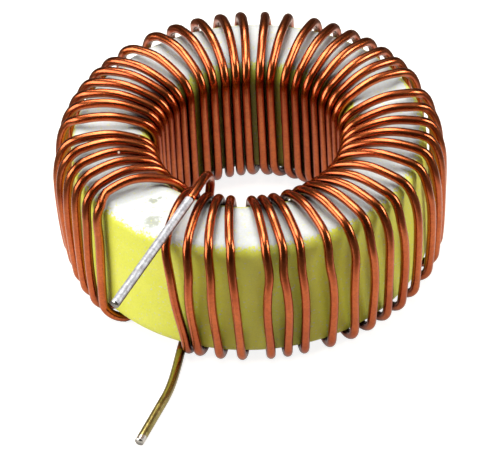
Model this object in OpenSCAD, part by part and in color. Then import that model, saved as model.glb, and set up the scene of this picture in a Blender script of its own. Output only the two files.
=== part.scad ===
// Toroidal power inductor: a pressed iron-powder ring with one layer of enamelled copper wire.
// The ring lies flat, its axis is Z and the winding rests on z = 0. Millimetres and degrees.

/* [Core] */
// Outside diameter of the painted core
core_od = 26.9; // [24:0.1:34]
// Diameter of the hole through the painted core
core_id = 15.1; // [15:0.1:17]
// Height of the core, face to face
core_h = 10.5; // [7:0.1:16]
// Radius of the rounded outer edges of the core
core_edge_r = 1.0; // [0.6:0.05:1.1]
// Radius of the rounded edges of the hole
hole_edge_r = 1.6; // [1:0.05:1.8]

/* [Wire] */
// Diameter of the bare copper
copper_d = 0.65; // [0.5:0.01:0.68]
// Thickness of the enamel on the copper
enamel_t = 0.025; // [0.01:0.005:0.03]
// Gap between the wire and the core
wire_gap = 0.06; // [0.06:0.01:0.12]
// How far the wire springs off the outer wall of the core
wall_bow = 0.65; // [0.4:0.05:0.8]
// How far the wire springs off the top face of the core
top_bow = 0.36; // [0.2:0.02:0.5]
// Radius of the easy bend that the wire makes over the outer edge on top
easy_r = 2.2; // [1.8:0.1:2.6]
// Flats round the wire
wire_sides = 8; // [8:1:8]

/* [Upper lead] */
// Direction it points in, seen from above
upper_heading = 242; // [240:0.5:243]
// How steeply it falls towards its tip
upper_fall = 1.5; // [0:0.5:2]
// How far from the wall of the hole its tin begins
upper_tin_from = 3.35; // [3.2:0.05:4.4]
// Angle round the axis at which its tin begins
upper_tin_angle = 244.75; // [244:0.25:246]
// Length of its tinned end
upper_tin_len = 12.3; // [6:0.1:20]
// Clear height of the lead over the first turn
upper_clearance = 0.63; // [0.6:0.01:0.9]

/* [Lower lead] */
// Direction it points in, seen from above
lower_heading = 246.5; // [243:0.5:249]
// How far its tip reaches out from the wall of the core
lower_reach = 10.35; // [7:0.05:16]
// Angle round the axis of its tip
lower_tip_angle = 247; // [245:0.5:248]
// Length of its tinned end
lower_tin_len = 5; // [3:0.5:6]

/* [Tin] */
// Thickness of the tin on the stripped ends
tin_t = 0.03; // [0.03:0.01:0.1]
// Room between the copper and its tin
tin_fit = 0.004; // [0.002:0.001:0.01]

/* [Hidden] */
$fn = 96;

wire_d = copper_d + 2 * enamel_t;
wire_r = wire_d / 2;
tin_r = copper_d / 2 + tin_t;
core_ro = core_od / 2;
core_ri = core_id / 2;
bend_r = core_edge_r + wire_gap + wire_r;     // centre line of a bend round an edge of the core
under_end = 80;                               // how far a bend turns in under the core
lift = bend_r * sin(under_end) + wire_r - core_edge_r;   // underside of the core above the table
core_top = lift + core_h;
outer_bend = core_ro - core_edge_r;           // axis distance of the bend centres at the wall
low_bend = lift + core_edge_r;
high_bend = core_top - core_edge_r;
hole_r = hole_edge_r + wire_gap + wire_r;     // centre line of a bend round an edge of the hole
hole_bend = core_ri + hole_edge_r;            // axis distance of those bend centres
hole_low = lift + hole_edge_r;
hole_high = core_top - hole_edge_r;
easy_in = (easy_r - bend_r) * cos(45);        // the easy bend's centre lies this far in and down
wall_leg = outer_bend + bend_r;               // axis distance of a wire at the wall
bore_leg = hole_bend - hole_r;                // and of a wire in the hole
last_leg = bore_leg - wire_d - 0.16;          // the last wire crosses inside the others

// The turns lie in bundles, as a hand-wound coil has them:
// [first wall angle, pitch, first hole angle, pitch, turns, lean of the wall leg to its foot,
//  how far that foot stands out from the wall]
bundles = [
    [-117.6, 0.0, -125.5, 0.0, 1, 4.2, 0.00],
    [-110.6, 6.7, -115.0, 6.5, 3, 1.5, 0.00],
    [-86.4, 5.3, -91.3, 6.2, 3, 0.0, 0.00],
    [-67.0, 0.0, -70.8, 0.0, 1, 0.0, 0.10],
    [-59.2, 6.6, -63.3, 6.2, 3, 0.0, 0.15],
    [-39.5, 7.5, -43.0, 8.0, 2, 0.0, 0.25],
    [-22.8, 7.3, -25.0, 6.3, 5, 0.0, 0.30],
    [14.0, 0.0, 10.5, 0.0, 1, 0.0, 0.20],
    [25.2, 6.8, 21.0, 7.5, 7, 0.0, 0.20],
    [75.0, 7.7, 75.0, 6.5, 2, 0.0, 0.20],
    [90.8, 6.8, 90.0, 6.3, 2, 0.0, 0.20],
    [105.4, 7.9, 102.8, 7.5, 3, 0.0, 0.20],
    [131.5, 0.0, 127.0, 0.0, 1, 0.0, 0.20],
    [139.0, 6.1, 134.0, 6.2, 6, 0.0, 0.30],
    [182.5, 6.5, 184.0, 6.8, 5, 0.0, 0.45],
    [213.5, 0.0, 228.0, 0.0, 1, 4.5, 0.60]
];
wall_angles = [for (b = bundles) for (k = [0 : b[4] - 1]) b[0] + k * b[1]];
hole_angles = [for (b = bundles) for (k = [0 : b[4] - 1]) b[2] + k * b[3]];
leans = [for (b = bundles) for (k = [0 : b[4] - 1]) b[5]];
slacks = [for (b = bundles) for (k = [0 : b[4] - 1]) b[6]];
turns = len(wall_angles);
// Under the core the first wire, the last wire and the one before it stand side by side.
first_foot = -122.2;
last_foot = 231;
foot_before_last = 224.5;
last_top = 241;                               // the last wire leans across to here
lead_in = -117.0;                             // where the lower lead passes under the wall
top_sway = -4;                                // sideways bow of the last turn on the top face
swell = 1.075;                                // a bend's middle stands out so its flats clear the edge

function plan(r, a) = [r * cos(a), r * sin(a)];
function lifted(p, z) = [p[0], p[1], z];
function unit(v) = v / norm(v);

// Point at axis distance r on the straight line between a wall wire and a hole wire, in plan.
function on_line(wall, hole, r) =
    let (a = plan(wall_leg, wall), d = plan(bore_leg, hole) - a, s = a * d)
    a + d * (-s - sqrt(max(0, s * s - (d * d) * (a * a - r * r)))) / (d * d);

// Plan point for axis distance r on a wire's line, which turns radial beyond its wall leg.
function on_way(wall, hole, r) = r < wall_leg ? on_line(wall, hole, r) : plan(r, wall);

// Bend of the wire round an edge of the core, about a centre at axis distance r and height z.
function bend(wall, hole, r, z, from, to, radius) =
    [for (k = [0 : 2])
        let (a = from + (to - from) * k / 2, b = k == 1 ? radius * swell : radius)
        lifted(on_way(wall, hole, r + b * cos(a)), z + b * sin(a))];

// Angle at which wire k stands in the hole at its foot.
function foot(k) =
    k == 0 ? first_foot : k == turns ? last_foot : k == turns - 1 ? foot_before_last : hole_angles[k];

// Up the hole, over the top face and down the wall.
function turn(k) =
    let (wall = wall_angles[k], hole = hole_angles[k], low = wall + leans[k], slack = slacks[k],
         bow = wall_bow - wire_gap, sway = k == turns - 1 ? top_sway : 0)
    concat(
        bend(k == 0 ? lead_in : wall_angles[k - 1] + leans[k - 1], foot(k), hole_bend, hole_low,
             180 + under_end, 180, hole_r),
        bend(wall, hole, hole_bend, hole_high, 180, 108, hole_r),
        [lifted(on_line(wall + sway, hole + sway, core_ri * 0.54 + core_ro * 0.46),
                core_top + wire_gap + wire_r + top_bow)],
        bend(wall, hole, outer_bend - easy_in, high_bend - easy_in, 76, 16, easy_r),
        [lifted(plan(wall_leg + bow + slack * 0.3, wall), core_top - core_h * 0.38),
         lifted(plan(wall_leg + bow * 0.7 + slack * 0.5, wall * 0.45 + low * 0.55),
                lift + core_h * 0.33)],
        bend(low, foot(k + 1), outer_bend + slack, low_bend, -6, -under_end, bend_r)
    );

// Smooth curve between two points with their two handles.
function curve(p, q, r, s, steps) =
    [for (k = [0 : steps])
        let (t = k / steps, m = 1 - t)
        m * m * m * p + 3 * m * m * t * q + 3 * m * t * t * r + t * t * t * s];

// The lower lead: tip, start of its tin, and the run in under the core.
lower_dir = lifted(plan(1, lower_heading), 0);
lower_tip = lifted(plan(core_ro + lower_reach, lower_tip_angle), tin_r);
lower_tin = lower_tip - lower_tin_len * lower_dir;
lower_foot = lifted(on_line(lead_in, first_foot, hole_bend), wire_r);
lower_run = curve(lower_tin, lower_tin - 2.6 * lower_dir, lifted(plan(core_ro - 1.25, lead_in - 3.6), wire_r),
                  lower_foot, 7);

// The upper lead: out of the hole, over the first turn and away in a straight tinned end.
upper_dir = lifted(plan(cos(upper_fall), upper_heading), -sin(upper_fall));
upper_z = core_top + wire_gap + wire_d + top_bow + upper_clearance + tin_r;
upper_tin = lifted(plan(core_ri + upper_tin_from, upper_tin_angle), upper_z);
upper_tip = upper_tin + upper_tin_len * upper_dir;
upper_neck = lifted(plan(last_leg, last_top), core_top - 0.2);
upper_run = curve(upper_neck, upper_neck + [0, 0, 1.9], upper_tin - 2.2 * upper_dir, upper_tin, 7);
last_bend = [for (a = [260, 220, 180])
    lifted(plan(last_leg + hole_r * (1 + cos(a)), last_foot), hole_low + hole_r * sin(a))];
last_rise = [for (t = [0.3, 0.6, 0.85])
    lifted(plan(last_leg, last_foot + (last_top - last_foot) * t), hole_low + (core_top - 0.2 - hole_low) * t)];

copper_r = copper_d / 2 - tin_fit;
stripped = [[lower_tip, copper_r], [lower_tin, copper_r]];
covered = concat(
    [for (p = lower_run) p],
    [for (k = [0 : turns - 1]) for (p = turn(k)) p],
    last_bend,
    last_rise,
    upper_run
);
path = concat(
    stripped,
    [for (p = covered) [p, wire_r]],
    [[upper_tin, copper_r], [upper_tip, copper_r]]
);

// Direction of the wire at station i; two stations in one place share their direction.
function heading(i) =
    let (n = len(path), a = path[max(0, i - 1)][0], b = path[i][0], c = path[min(n - 1, i + 1)][0])
    unit((norm(b - a) > 0.001 ? unit(b - a) : [0, 0, 0]) + (norm(c - b) > 0.001 ? unit(c - b) : [0, 0, 0]));

// Round section of the wire at station i, set square to the wire.
function ring(i) =
    let (p = path[i][0], r = path[i][1], t = heading(i),
         round_axis = unit([-p[1], p[0], 0]),
         u = unit(round_axis - (round_axis * t) * t), v = cross(t, u))
    [for (k = [0 : wire_sides - 1])
        let (a = (k + 0.5) * 360 / wire_sides) p + r * cos(a) * u + r * sin(a) * v];

module core() {
    color([0.93, 0.93, 0.45])
        rotate_extrude()
            core_section();
}

// Half section of the core: a rectangle with round corners, softer ones at the hole.
module core_section() {
    e = core_edge_r;
    h = hole_edge_r;
    translate([core_ri + h, lift])
        square([core_ro - core_ri - e - h, core_h]);
    translate([core_ri, lift + h])
        square([h, core_h - 2 * h]);
    translate([core_ro - e, lift + e])
        square([e, core_h - 2 * e]);
    for (z = [lift + e, core_top - e])
        translate([core_ro - e, z])
            circle(e);
    for (z = [lift + h, core_top - h])
        translate([core_ri + h, z])
            circle(h);
}

// The whole coil is one wire, from the tip of the lower lead to the tip of the upper one.
module winding() {
    n = wire_sides;
    last = len(path) - 1;
    points = [for (i = [0 : last]) for (p = ring(i)) p];
    sides = [for (i = [0 : last - 1]) for (j = [0 : n - 1])
        let (k = (j + 1) % n)
        for (f = [[i * n + j, (i + 1) * n + j, (i + 1) * n + k], [i * n + j, (i + 1) * n + k, i * n + k]]) f];
    start_cap = [for (j = [1 : n - 2]) [0, j, j + 1]];
    end_cap = [for (j = [1 : n - 2]) [last * n, last * n + j + 1, last * n + j]];
    color([0.72, 0.36, 0.18])
        polyhedron(points, concat(sides, start_cap, end_cap), convexity = 20);
}

// Skin of tin on a stripped end, from a to b.
module tin(a, b) {
    d = b - a;
    color([0.82, 0.82, 0.80])
        translate(a)
            rotate([0, acos(d[2] / norm(d)), atan2(d[1], d[0])])
                difference() {
                    cylinder(r = tin_r, h = norm(d));
                    translate([0, 0, -1])
                        cylinder(r = copper_d / 2, h = norm(d) + 2);
                }
}

module upper_lead_tin() {
    tin(upper_tin, upper_tip);
}

module lower_lead_tin() {
    tin(lower_tin, lower_tip);
}

core();
winding();
upper_lead_tin();
lower_lead_tin();
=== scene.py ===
import random
from math import atan2, cos, degrees, pi, radians, sin, sqrt

import bpy
from mathutils import Matrix, Vector


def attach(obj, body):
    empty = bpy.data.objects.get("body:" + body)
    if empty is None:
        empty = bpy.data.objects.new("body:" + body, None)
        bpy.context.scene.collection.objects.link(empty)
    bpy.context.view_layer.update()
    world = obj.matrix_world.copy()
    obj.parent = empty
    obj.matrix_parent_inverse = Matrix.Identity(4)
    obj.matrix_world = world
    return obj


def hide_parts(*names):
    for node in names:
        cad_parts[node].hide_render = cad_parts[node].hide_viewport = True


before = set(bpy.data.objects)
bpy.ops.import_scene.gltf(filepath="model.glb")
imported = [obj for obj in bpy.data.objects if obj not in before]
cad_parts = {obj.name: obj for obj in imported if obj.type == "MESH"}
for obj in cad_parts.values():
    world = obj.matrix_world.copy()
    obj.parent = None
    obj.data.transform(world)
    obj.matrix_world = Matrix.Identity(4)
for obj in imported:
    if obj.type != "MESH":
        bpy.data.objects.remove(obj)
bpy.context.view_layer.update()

# ---- Camera -----------------------------------------------------------------------------------
# A long lens looks down on the ring from the side of its leads. The camera is rolled a little,
# and it is aimed below the ring so that the lower lead stays in view.
ring_centre = Vector((0.0, 0.0, 0.005989))
camera_rise = radians(40.6)
camera_roll = radians(-3.06)
camera_distance = 0.565
pixels_per_metre = 13180.0
image_width = 487
image_middle = (243.0, 237.0)
ring_in_image = (250.7, 185.0)
towards_camera = Vector((0.0, -cos(camera_rise), sin(camera_rise)))
slope_up = Vector((0.0, sin(camera_rise), cos(camera_rise)))
level_right = Vector((1, 0, 0))
image_right = level_right * cos(camera_roll) + slope_up * sin(camera_roll)
image_up = slope_up * cos(camera_roll) - level_right * sin(camera_roll)
aim = ring_centre + (image_right * (image_middle[0] - ring_in_image[0])
                     - image_up * (image_middle[1] - ring_in_image[1])) / pixels_per_metre
camera_place = ring_centre + towards_camera * camera_distance
camera_back = (camera_place - aim).normalized()
camera_side = image_up.cross(camera_back).normalized()
camera_top = camera_back.cross(camera_side)
sensor_width = 36.0
camera_data = bpy.data.cameras.new("camera")
camera_data.sensor_fit = "HORIZONTAL"
camera_data.sensor_width = sensor_width
camera_data.lens = pixels_per_metre * camera_distance * sensor_width / image_width
camera_data.clip_start = 0.01
camera_data.clip_end = 20.0
camera = bpy.data.objects.new("camera", camera_data)
camera.matrix_world = Matrix.Translation(camera_place) @ Matrix(
    (camera_side, camera_top, camera_back)).transposed().to_4x4()
bpy.context.scene.collection.objects.link(camera)
bpy.context.scene.camera = camera

# ---- Core -------------------------------------------------------------------------------------
# The ring is pressed iron powder under a coat of paint: yellow all over, then white sprayed on the
# top face, with a soft edge where the white ends just over the rounded rim.
core_bottom = 0.0007386
core_top = 0.0112386


def paint_colour(red, green, blue):
    """A painted colour, given as it looks, in the shader's own scale."""
    return tuple((c / 255.0) ** 2.2 for c in (red, green, blue)) + (1.0,)


class Finish:
    """A material and the short way to add and join its nodes."""

    def __init__(self, name, **sockets):
        self.material = bpy.data.materials.new(name)
        self.material.use_nodes = True
        self.nodes = self.material.node_tree.nodes
        self.links = self.material.node_tree.links
        self.shader = self.nodes["Principled BSDF"]
        for socket, value in sockets.items():
            self.shader.inputs[socket.replace("_", " ")].default_value = value
        self.place = self.add("ShaderNodeTexCoord").outputs["Object"]

    def add(self, kind, settings=None, **sockets):
        node = self.nodes.new(kind)
        for setting, value in (settings or {}).items():
            setattr(node, setting, value)
        for socket, value in sockets.items():
            self.feed(node.inputs[socket.replace("_", " ")], value)
        return node

    def feed(self, socket, value):
        if isinstance(value, bpy.types.NodeSocket):
            self.links.new(value, socket)
        else:
            socket.default_value = value

    def noise(self, scale, detail=3.0, roughness=0.55):
        return self.add("ShaderNodeTexNoise", Vector=self.place, Scale=scale, Detail=detail,
                        Roughness=roughness).outputs["Fac"]

    def math(self, operation, a, b=0.0, clamp=False):
        node = self.add("ShaderNodeMath", {"operation": operation, "use_clamp": clamp})
        self.feed(node.inputs[0], a)
        self.feed(node.inputs[1], b)
        return node.outputs[0]

    def spread(self, value, low, high, to_low=0.0, to_high=1.0):
        node = self.add("ShaderNodeMapRange", {"interpolation_type": "SMOOTHSTEP"})
        for socket, number in zip(node.inputs, (value, low, high, to_low, to_high)):
            self.feed(socket, number)
        return node.outputs[0]

    def mix(self, amount, a, b):
        node = self.add("ShaderNodeMix", {"data_type": "RGBA"})
        self.feed(node.inputs[0], amount)
        self.feed(node.inputs[6], a)
        self.feed(node.inputs[7], b)
        return node.outputs[2]

    def parts(self, vector):
        """The three numbers of a vector or a colour."""
        return self.add("ShaderNodeSeparateXYZ", Vector=vector).outputs

    def measure(self, operation, a, b=(0.0, 0.0, 0.0)):
        """A number worked out from one or two vectors, such as a distance."""
        node = self.add("ShaderNodeVectorMath", {"operation": operation})
        self.feed(node.inputs[0], a)
        self.feed(node.inputs[1], b)
        return node.outputs["Value"]

    def gaps(self, reach):
        """How open a spot lies: 1 in the open, towards 0 deep in a narrow gap."""
        return self.add("ShaderNodeAmbientOcclusion", {"samples": 8}, Distance=reach).outputs["AO"]

    def bump(self, height, distance, strength=1.0):
        node = self.add("ShaderNodeBump", Height=height, Distance=distance, Strength=strength)
        self.links.new(node.outputs[0], self.shader.inputs["Normal"])


core_paint = Finish("core_paint", Roughness=0.42, Specular_IOR_Level=0.4)
core_place = core_paint.parts(core_paint.place)
core_x, core_height = core_place[0], core_place[2]
# sprayed from above, the white covers what faces up and thins out over the rim in fine droplets
clouds = core_paint.math("MULTIPLY", core_paint.noise(480.0, 3.0), 0.00036)
# the spray came a little from the left, so it reaches less far down the rim on the right
thinner = core_paint.math("MULTIPLY",
                          core_paint.spread(core_x, -0.0075, -0.0010, 0.0, 0.00032),
                          core_paint.spread(core_height, core_top - 0.00003, core_top - 0.00014))
cover = core_paint.math("SUBTRACT", core_paint.math("ADD", core_height, clouds), thinner)
cover = core_paint.spread(cover, core_top - 0.00072, core_top + 0.00020)
drops = core_paint.math("MULTIPLY", core_paint.noise(5200.0, 2.0, 0.6), 2.8)
white_amount = core_paint.spread(core_paint.math("ADD", cover, drops), 1.70, 2.10)
yellow = core_paint.mix(core_paint.spread(core_paint.noise(260.0, 5.0), 0.35, 0.7),
                        paint_colour(245, 249, 88), paint_colour(251, 254, 108))
white = core_paint.mix(core_paint.spread(core_paint.noise(330.0, 4.0), 0.45, 0.75),
                       paint_colour(232, 238, 239), paint_colour(216, 222, 224))
# grey smudges on the white
smudge = core_paint.spread(core_paint.noise(240.0, 6.0, 0.7), 0.58, 0.72, 0.0, 0.5)
white = core_paint.mix(smudge, white, paint_colour(190, 194, 188))
# scuffs where the white is worn: place, size and depth
scuffs = [
    (-0.00735, -0.00725, 0.00045, 0.9),
    (-0.00690, -0.00700, 0.00030, 0.8),
    (-0.00750, -0.00965, 0.00090, 0.8),
    (-0.00611, -0.00872, 0.00060, 0.35),
    (0.00260, 0.01080, 0.00070, 0.5),
    (0.00990, -0.00330, 0.00060, 0.5),
]
for scuff_x, scuff_y, size, depth in scuffs:
    away = core_paint.measure("DISTANCE", core_paint.place, (scuff_x, scuff_y, core_top))
    ragged = core_paint.math("MULTIPLY", core_paint.noise(3600.0, 2.0), size * 1.6)
    ragged = core_paint.math("ADD", away, ragged)
    scuff = core_paint.spread(ragged, size * 1.7, size * 1.1, 0.0, depth)
    white = core_paint.mix(scuff, white, paint_colour(160, 165, 150))
coat = core_paint.mix(white_amount, yellow, white)
# small dark specks all over, a fine grain, and painted shade in the gaps under the wires
grit = core_paint.add("ShaderNodeTexVoronoi", Vector=core_paint.place, Scale=380.0).outputs
few = core_paint.math("GREATER_THAN", core_paint.parts(grit["Color"])[0], 0.86)
speck = core_paint.spread(grit["Distance"], 0.055, 0.03, 0.0, 0.75)
speck = core_paint.math("MULTIPLY", few, speck)
coat = core_paint.mix(speck, coat, paint_colour(122, 112, 84))
grain = core_paint.spread(core_paint.noise(7000.0, 2.0, 0.7), 0.64, 0.34, 0.0, 0.15)
coat = core_paint.mix(grain, coat, paint_colour(200, 198, 104))
# painted shade: the yellow darkens to dark brown deep in the gaps, where the wires shut out the
# light
painted_gap_shade = core_paint.spread(core_paint.gaps(0.0011), 0.55, 0.12, 0.0, 0.9)
coat = core_paint.mix(painted_gap_shade, coat, paint_colour(58, 42, 18))
core_paint.links.new(coat, core_paint.shader.inputs["Base Color"])
core_paint.bump(core_paint.noise(2600.0, 2.0), 0.00004, 0.5)
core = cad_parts["core"]
core.data.materials.clear()
core.data.materials.append(core_paint.material)

# ---- Winding ----------------------------------------------------------------------------------
# One enamelled copper wire, wound tightly round the ring by hand in bundles of turns. It starts as
# the lower lead, passes under the ring and up its hole, and ends as the upper lead.
# Lengths of the wire's path are in millimetres and its angles in degrees.
MM = 0.001
copper_radius = 0.321
wire_radius = 0.35
wire_gap = 0.06
rim_radius = 1.0
hole_rim_radius = 1.6
ring_outside = 13.45
ring_inside = 7.55
bend = rim_radius + wire_gap + wire_radius
hole_bend = hole_rim_radius + wire_gap + wire_radius
# over the outer rim the wire bends more easily, and it springs up off the top face a little
easy_bend = 2.0
spring_out, spring_up, hole_spring_up = 0.20, 0.17, 0.12
floor_to_ring = core_bottom / MM
top_height = core_top / MM
# centres of the bends: axis distance and height
outer_low = (ring_outside - rim_radius, floor_to_ring + rim_radius)
easy_in = (easy_bend - bend) * cos(radians(45))
outer_high = (outer_low[0] - easy_in + spring_out, top_height - rim_radius - easy_in + spring_up)
hole_low = (ring_inside + hole_rim_radius, floor_to_ring + hole_rim_radius)
hole_high = (hole_low[0], top_height - hole_rim_radius + hole_spring_up)
wall_leg = outer_low[0] + bend
hole_leg = hole_low[0] - hole_bend
last_leg = hole_leg - 2 * wire_radius - 0.16
# angles round the ring of the odd feet in the hole and of the lower lead's way in
first_foot, last_foot, foot_before_last, last_top = -122.2, 231.0, 224.5, 241.0
lead_in = -117.0
# the bundles of turns: first wall angle and pitch, first hole angle and pitch, how many turns, the
# lean of the wall leg to its foot, how far that foot stands out from the wall, and how far the leg
# across the top bows aside
bundles = [
    (-118.2, 0.0, -125.5, 0.0, 1, 4.8, 0.0, -0.6),
    (-111.2, 6.9, -115.0, 6.5, 3, 1.5, 0.0, -0.4),
    (-86.6, 5.4, -91.3, 6.2, 3, 0.0, 0.0, 0.0),
    (-67.0, 0.0, -70.8, 0.0, 1, 0.0, 0.1, 0.0),
    (-59.2, 6.6, -63.3, 6.2, 3, 0.0, 0.15, 0.0),
    (-39.5, 7.5, -43.0, 8.0, 2, 0.0, 0.25, -0.3),
    (-22.8, 7.3, -25.0, 6.3, 5, 0.0, 0.3, -0.8),
    (14.0, 0.0, 10.5, 0.0, 1, 0.0, 0.2, -1.2),
    (25.2, 6.8, 21.0, 7.5, 7, 0.0, 0.2, -0.6),
    (75.0, 7.7, 75.0, 6.5, 2, 0.0, 0.2, -0.3),
    (90.8, 6.8, 90.0, 6.3, 2, 0.0, 0.2, -1.6),
    (105.4, 7.9, 102.8, 7.5, 3, 0.0, 0.2, -1.8),
    (131.5, 0.0, 127.0, 0.0, 1, 0.0, 0.2, -1.6),
    (139.0, 6.35, 134.0, 6.4, 5, 0.0, 0.3, 0.3),
    (170.9, 0.0, 166.2, 0.0, 1, 0.0, 0.3, 2.0),
    (181.6, 0.0, 183.0, 0.0, 1, 0.0, 0.35, 0.6),
    (188.3, 6.6, 189.9, 6.9, 4, 0.6, 0.15, -1.4),
    (214.1, 0.0, 228.0, 0.0, 1, 2.9, 0.1, -4.8),
]
turns = [(wall + k * step, hole + k * hole_step, lean, slack, bow)
         for wall, step, hole, hole_step, count, lean, slack, bow in bundles for k in range(count)]


def plan(r, angle):
    return Vector((r * cos(radians(angle)), r * sin(radians(angle)), 0.0))


def on_line(wall, hole, r):
    """Plan point at axis distance r on the straight line from a wall wire to a hole wire."""
    if r >= wall_leg:
        return plan(r, wall)
    start = plan(wall_leg, wall)
    along = plan(hole_leg, hole) - start
    s = start.dot(along)
    square = along.dot(along)
    root = sqrt(max(0.0, s * s - square * (start.dot(start) - r * r)))
    return start + along * ((-s - root) / square)


def round_bend(centre, radius, begin, end, steps):
    """Axis distance and height of the points of a bend."""
    angles = [radians(begin + (end - begin) * k / steps) for k in range(steps + 1)]
    return [(centre[0] + radius * cos(a), centre[1] + radius * sin(a)) for a in angles]


def along_line(wall, hole, points):
    """Points of a bend, given as axis distance and height, set over such a line."""
    return [on_line(wall, hole, r) + Vector((0, 0, z)) for r, z in points]


def cubic(p, q, r, s, t):
    m = 1.0 - t
    return p * (m * m * m) + q * (3 * m * m * t) + r * (3 * m * t * t) + s * (t * t * t)


def foot(k):
    """The angle at which a turn comes up into the hole."""
    if k == 0:
        return first_foot
    if k == len(turns):
        return last_foot
    return foot_before_last if k == len(turns) - 1 else turns[k][1]


def heading(angle):
    """The way a bend runs at an angle of its arc: across, and up or down."""
    return Vector((sin(radians(angle)), -cos(radians(angle))))


# the unevenness of winding by hand, and the arc angles where the wire's free runs begin and end:
# across the top face, and down the wall
hand = random.Random(46)
top_start, top_end, rim_end, foot_start = 115, 74, 44, -8


def one_turn(k):
    wall, hole, lean, slack, bow = turns[k]
    low = wall + lean
    last = k == len(turns) - 1
    # the last turn's foot is dragged along the rim before it goes under
    drag = 3.2 if last else 0.0
    came_from = lead_in if k == 0 else turns[k - 1][0] + turns[k - 1][2]
    points = along_line(came_from, foot(k), round_bend(hole_low, hole_bend, 260, 182, 8))
    # up the hole
    for n in range(1, 8):
        t = n / 8.0
        p = plan(hole_leg, foot(k) + (hole - foot(k)) * t)
        points.append(p + Vector((0, 0, hole_low[1] + (hole_high[1] - hole_low[1]) * t)))
    # over the hole's rim, across the top face and over the outer rim
    over = round_bend(hole_high, hole_bend, 180, top_start, 8)
    down = round_bend(outer_high, easy_bend, top_end, rim_end, 5)
    begin, end = Vector(over[-1]), Vector(down[0])
    handle = (0.42 + hand.uniform(-0.015, 0.015)) * (end.x - begin.x)
    q = begin + heading(top_start) * handle
    r = end - heading(top_end) * handle
    over += [tuple(cubic(begin, q, r, end, n / 10.0)) for n in range(1, 10)] + down
    drift = bow + hand.uniform(-0.35, 0.35)
    for n, point in enumerate(over):
        sway = drift * sin(pi * n / (len(over) - 1))
        points += along_line(wall + sway, hole + sway, [point])
    # down the wall, sprung off it a little
    foot_centre = (outer_low[0] + slack, outer_low[1])
    under = round_bend(foot_centre, bend, foot_start, -80, 7)
    begin, end = Vector(down[-1]), Vector(under[0])
    spring = min(0.62 + 0.2 * slack, 0.15 + 0.14 * (len(turns) - 1 - k))
    belly = Vector((wall_leg + spring + hand.uniform(-0.05, 0.05), top_height - 3.2))
    first = degrees(atan2(points[-1].y, points[-1].x))
    first += 360.0 * round((wall - first) / 360.0)
    drift = hand.uniform(-0.8, 0.8)
    for n in range(1, 16):
        t = n / 16.0
        if t < 0.5:
            p = cubic(begin, begin + heading(rim_end) * 0.9,
                      belly + Vector((-0.02, 1.2)), belly, 2 * t)
        else:
            p = cubic(belly, belly + Vector((0.02, -2.0)),
                      end - heading(foot_start) * 1.5, end, 2 * t - 1)
        aside = t ** 5 if last else t * t * (3 - 2 * t)
        a = first + (low - drag - first) * aside + drift * sin(2 * pi * t) * sin(pi * t)
        points.append(plan(p.x, a) + Vector((0.0, 0.0, p.y)))
    # under the rim and along the underside
    for n, point in enumerate(under):
        points += along_line(low - drag * (1 - n / 7.0), foot(k + 1), [point])
    reach = under[-1][0] - hole_low[0]
    points += along_line(low, foot(k + 1), [(under[-1][0] - reach * n / 4.0, wire_radius)
                                            for n in range(1, 4)])
    return points


# the lower lead: a straight tinned end and the run in under the ring
tin_radius = 0.355
lower_tin_length = 5.0
lower_way = plan(1.0, 246.5)
lower_tip = plan(ring_outside + 10.35, 247.0) + Vector((0, 0, tin_radius))
lower_tin = lower_tip - lower_way * lower_tin_length
lower_foot = on_line(lead_in, first_foot, hole_low[0]) + Vector((0, 0, wire_radius))
# the upper lead: out of the hole, over the first turn and away in a straight tinned end
upper_tin_length = 12.3
lift_over_first_turn, clear_of_first_turn = 0.36, 0.63
fall = radians(1.5)
upper_way = plan(cos(fall), 242.0) + Vector((0, 0, -sin(fall)))
upper_tin = plan(ring_inside + 3.35, 244.75)
upper_tin.z = (top_height + wire_gap + 2 * wire_radius + lift_over_first_turn
               + clear_of_first_turn + tin_radius)
upper_tip = upper_tin + upper_way * upper_tin_length
upper_neck = plan(last_leg, last_top) + Vector((0, 0, top_height - 0.2))

# the enamelled length: the run in, every turn, and the way up the hole to the upper lead
covered = [cubic(lower_tin, lower_tin - lower_way * 3.2,
                 plan(ring_outside - 1.5, lead_in - 3.5) + Vector((0, 0, wire_radius)),
                 lower_foot, n / 20.0)
           for n in range(21)]
for k in range(len(turns)):
    covered += one_turn(k)
for r, z in round_bend((last_leg + hole_bend, hole_low[1]), hole_bend, 260, 180, 6):
    covered.append(plan(r, last_foot) + Vector((0, 0, z)))
for n in range(1, 10):
    t = n / 10.0
    p = plan(last_leg, last_foot + (last_top - last_foot) * t)
    covered.append(p + Vector((0, 0, hole_low[1] + (upper_neck.z - hole_low[1]) * t)))
covered += [cubic(upper_neck, upper_neck + Vector((0, 0, 1.9)), upper_tin - upper_way * 2.2,
                  upper_tin, n / 20.0) for n in range(21)]
# each station: place, radius, and how bare it is; the tin starts in a low collar on the enamel
enamelled, yellowed, bright = 0.0, 0.5, 1.0
collar_radius = 0.3585
stained_stations = 11
wire_path = [(lower_tip, copper_radius, bright),
             (lower_tin + lower_way * 0.14, copper_radius, yellowed),
             (lower_tin + lower_way * 0.13, collar_radius, yellowed),
             (lower_tin + lower_way * 0.12, collar_radius, yellowed),
             (lower_tin, 0.357, yellowed)]
wire_path += [(p, wire_radius, yellowed if n < stained_stations else enamelled)
              for n, p in enumerate(covered) if n > 0]
wire_path += [(upper_tin, copper_radius, bright), (upper_tip, copper_radius, bright)]


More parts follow.
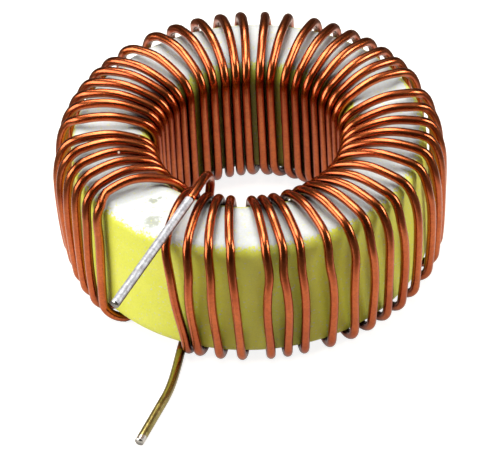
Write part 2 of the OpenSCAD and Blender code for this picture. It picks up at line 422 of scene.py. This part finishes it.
def round_wire(name, path, sides):
    """A round wire along a path, its section set square to it and turned by the ring's axis."""
    verts, faces, bareness = [], [], []
    for i, (here, radius, bareness_here) in enumerate(path):
        before, after = path[max(0, i - 1)][0], path[min(len(path) - 1, i + 1)][0]
        way = Vector((0, 0, 0))
        if (here - before).length > 1e-4:
            way += (here - before).normalized()
        if (after - here).length > 1e-4:
            way += (after - here).normalized()
        way.normalize()
        u = Vector((-here.y, here.x, 0.0)).normalized()
        u = (u - way * u.dot(way)).normalized()
        v = way.cross(u)
        for j in range(sides):
            a = 2 * pi * j / sides
            verts.append((here + (u * cos(a) + v * sin(a)) * radius) * MM)
            bareness.append(bareness_here)
    for i in range(len(path) - 1):
        for j in range(sides):
            k = (j + 1) % sides
            faces.append((i * sides + j, i * sides + k, (i + 1) * sides + k, (i + 1) * sides + j))
    faces.append(tuple(range(sides - 1, -1, -1)))
    faces.append(tuple((len(path) - 1) * sides + j for j in range(sides)))
    mesh = bpy.data.meshes.new(name)
    mesh.from_pydata(verts, [], faces)
    mesh.attributes.new("bare", "FLOAT", "POINT").data.foreach_set("value", bareness)
    mesh.shade_smooth()
    mesh.update()
    piece = bpy.data.objects.new(name, mesh)
    bpy.context.scene.collection.objects.link(piece)
    return piece


wire = round_wire("wire", wire_path, 20)
enamel = Finish("enamelled_copper", Roughness=0.27, Coat_Weight=0.5, Coat_Roughness=0.13)
tone = enamel.mix(enamel.spread(enamel.noise(420.0, 4.0), 0.35, 0.7),
                  paint_colour(210, 108, 56), paint_colour(190, 88, 43))
mottling = enamel.spread(enamel.noise(4600.0, 3.0), 0.42, 0.62, 0.0, 0.35)
tone = enamel.mix(mottling, tone, paint_colour(150, 70, 36))
# painted shade: between the wires the enamel is darkened to dark red, standing in for the dark
# reflections of more enamel there
painted_enamel_shade = enamel.spread(enamel.gaps(0.0010), 0.82, 0.34, 0.0, 0.9)
tone = enamel.mix(painted_enamel_shade, tone, paint_colour(62, 10, 7))
bare = enamel.add("ShaderNodeAttribute", {"attribute_name": "bare"}).outputs["Fac"]
tone = enamel.mix(enamel.spread(bare, 0.2, 0.4), tone, paint_colour(150, 138, 86))
tone = enamel.mix(enamel.spread(bare, 0.7, 0.9), tone, paint_colour(205, 203, 198))
# a few pale flecks of dust caught in the enamel
flecks = enamel.add("ShaderNodeTexVoronoi", Vector=enamel.place, Scale=620.0).outputs
fleck = enamel.math("MULTIPLY", enamel.spread(flecks["Distance"], 0.075, 0.05),
                    enamel.math("GREATER_THAN", enamel.parts(flecks["Color"])[0], 0.9))
tone = enamel.mix(fleck, tone, paint_colour(240, 225, 205))
enamel.links.new(tone, enamel.shader.inputs["Base Color"])
enamel.links.new(enamel.math("SUBTRACT", 1.0, fleck), enamel.shader.inputs["Metallic"])
enamel.bump(enamel.noise(1600.0, 2.0), 0.00003, 0.12)
wire.data.materials.append(enamel.material)
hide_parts("winding")
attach(wire, "root")

# ---- Tinned ends ------------------------------------------------------------------------------
# Each end of the wire is stripped and dipped in solder, which leaves a thin skin of tin, dull and
# mottled on the upper lead and yellowed by flux on the lower one, bright again at its cut end.
tin = Finish("tin", Metallic=0.55, Roughness=0.5)
tin_tone = tin.mix(tin.spread(tin.noise(2300.0, 5.0, 0.7), 0.38, 0.62),
                   paint_colour(208, 210, 212), paint_colour(168, 165, 169))
# painted shade: a thin dark brown band along the lower side that faces away from the lamps
side = tin.measure("DOT_PRODUCT", tin.add("ShaderNodeTexCoord").outputs["Normal"],
                   (0.78, -0.43, -0.45))
painted_side_shade = tin.math("ADD", side, tin.math("MULTIPLY", tin.noise(900.0), 0.12))
tin_tone = tin.mix(tin.spread(painted_side_shade, 0.80, 0.92, 0.0, 0.85), tin_tone, paint_colour(92, 48, 26))
tin.links.new(tin_tone, tin.shader.inputs["Base Color"])
tin.bump(tin.noise(2600.0, 4.0, 0.65), 0.00004, 0.5)
yellowed_tin = Finish("yellowed_tin", Metallic=1.0, Roughness=0.3)
end_y = yellowed_tin.parts(yellowed_tin.place)[1]
cut_end = yellowed_tin.spread(end_y, (lower_tip.y + 0.5) * MM, (lower_tip.y + 0.3) * MM)
flux = yellowed_tin.mix(yellowed_tin.spread(yellowed_tin.noise(1500.0, 4.0), 0.35, 0.65),
                        paint_colour(168, 156, 100), paint_colour(132, 118, 72))
flux = yellowed_tin.mix(cut_end, flux, paint_colour(215, 212, 206))
yellowed_tin.links.new(flux, yellowed_tin.shader.inputs["Base Color"])
yellowed_tin.bump(yellowed_tin.noise(1500.0, 4.0), 0.00006, 0.5)
for name, skin in (("upper_lead_tin", tin), ("lower_lead_tin", yellowed_tin)):
    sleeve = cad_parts[name]
    sleeve.data.materials.clear()
    sleeve.data.materials.append(skin.material)

# ---- Floor and light --------------------------------------------------------------------------
# A white table, with a painted pool of light and a painted shadow that only the wire's gloss sees,
# under soft studio lamps: a wide one overhead, two smaller ones above and behind, a broad one on
# the left and a weak one on the right.
floor_mesh = bpy.data.meshes.new("floor")
floor_mesh.from_pydata([(-3, -3, 0), (3, -3, 0), (3, 3, 0), (-3, 3, 0)], [], [(0, 1, 2, 3)])
floor = bpy.data.objects.new("floor", floor_mesh)
floor.location.z = -0.00001
bpy.context.scene.collection.objects.link(floor)
table_top = Finish("table_top", Roughness=0.8, Specular_IOR_Level=0.1)
seen = table_top.add("ShaderNodeLightPath").outputs
table_y = table_top.parts(table_top.place)[1]
from_axis = table_top.measure("LENGTH", table_top.place)
# painted light: in the wire's gloss only the table close round the ring looks bright, a painted
# pool of light that fades with distance
painted_near_glow = table_top.spread(from_axis, 0.0335, 0.0185)
# painted shadow: inside the ring the table's near side is darkened in the wire's gloss, standing
# in for the ring's shade
inside = table_top.spread(from_axis, 0.0085, 0.0075)
painted_ring_shadow = table_top.math("MULTIPLY", inside, table_top.spread(table_y, -0.0030, -0.0050))
lit = table_top.math("MULTIPLY", painted_near_glow, table_top.math("SUBTRACT", 1.0, painted_ring_shadow))
pale = table_top.math("MAXIMUM", lit, table_top.math("SUBTRACT", 1.0, seen["Is Glossy Ray"]))
# the table's colour is painted dark in the wire's gloss outside the painted pool of light
table_colour = table_top.mix(pale, (0.06, 0.05, 0.04, 1.0), (0.50, 0.46, 0.40, 1.0))
table_top.links.new(table_colour, table_top.shader.inputs["Base Color"])
# the glow the wire mirrors follows the same painted pool of light and painted shadow
glossy = table_top.math("MULTIPLY", seen["Is Glossy Ray"],
                        table_top.spread(lit, 0.0, 1.0, 0.03, 0.34))
direct = table_top.math("MULTIPLY", seen["Is Camera Ray"], 0.88)
through = table_top.math("MULTIPLY", seen["Is Transmission Ray"], 0.86)
seen_white = table_top.math("ADD", table_top.math("ADD", direct, glossy), through)
table_top.links.new(seen_white, table_top.shader.inputs["Emission Strength"])
table_top.shader.inputs["Emission Color"].default_value = (1.0, 1.0, 1.0, 1.0)
floor_mesh.materials.append(table_top.material)


def soft_lamp(name, place, target, width, height, watts):
    """A rectangular studio lamp, in metres and watts, turned to its target."""
    data = bpy.data.lights.new(name, "AREA")
    data.shape = "RECTANGLE"
    data.size, data.size_y = width, height
    data.energy = watts
    lamp = bpy.data.objects.new(name, data)
    back = (Vector(place) - Vector(target)).normalized()
    lamp.location = place
    lamp.rotation_euler = back.to_track_quat("Z", "Y").to_euler()
    bpy.context.scene.collection.objects.link(lamp)


soft_lamp("lamp_ceiling", (0.0, 0.28, 0.50), (0.0, 0.28, 0.0), 0.90, 0.80, 0.9)
soft_lamp("lamp_above", (-0.04, 0.03, 0.48), (0, 0, 0), 0.36, 0.26, 1.75)
soft_lamp("lamp_back", (-0.08, 0.30, 0.40), (0, 0, 0), 0.32, 0.12, 1.0)
soft_lamp("lamp_left", (-0.46, -0.10, 0.17), (0, 0, 0), 0.42, 0.36, 1.95)
soft_lamp("lamp_right", (0.46, -0.02, 0.18), (0, 0, 0), 0.16, 0.24, 1.1)
world = bpy.data.worlds.new("studio")
world.use_nodes = True
world.node_tree.nodes["Background"].inputs[0].default_value = (1.0, 0.94, 0.86, 1.0)
world.node_tree.nodes["Background"].inputs[1].default_value = 0.03
bpy.context.scene.world = world
bpy.context.scene.view_settings.view_transform = "Standard"
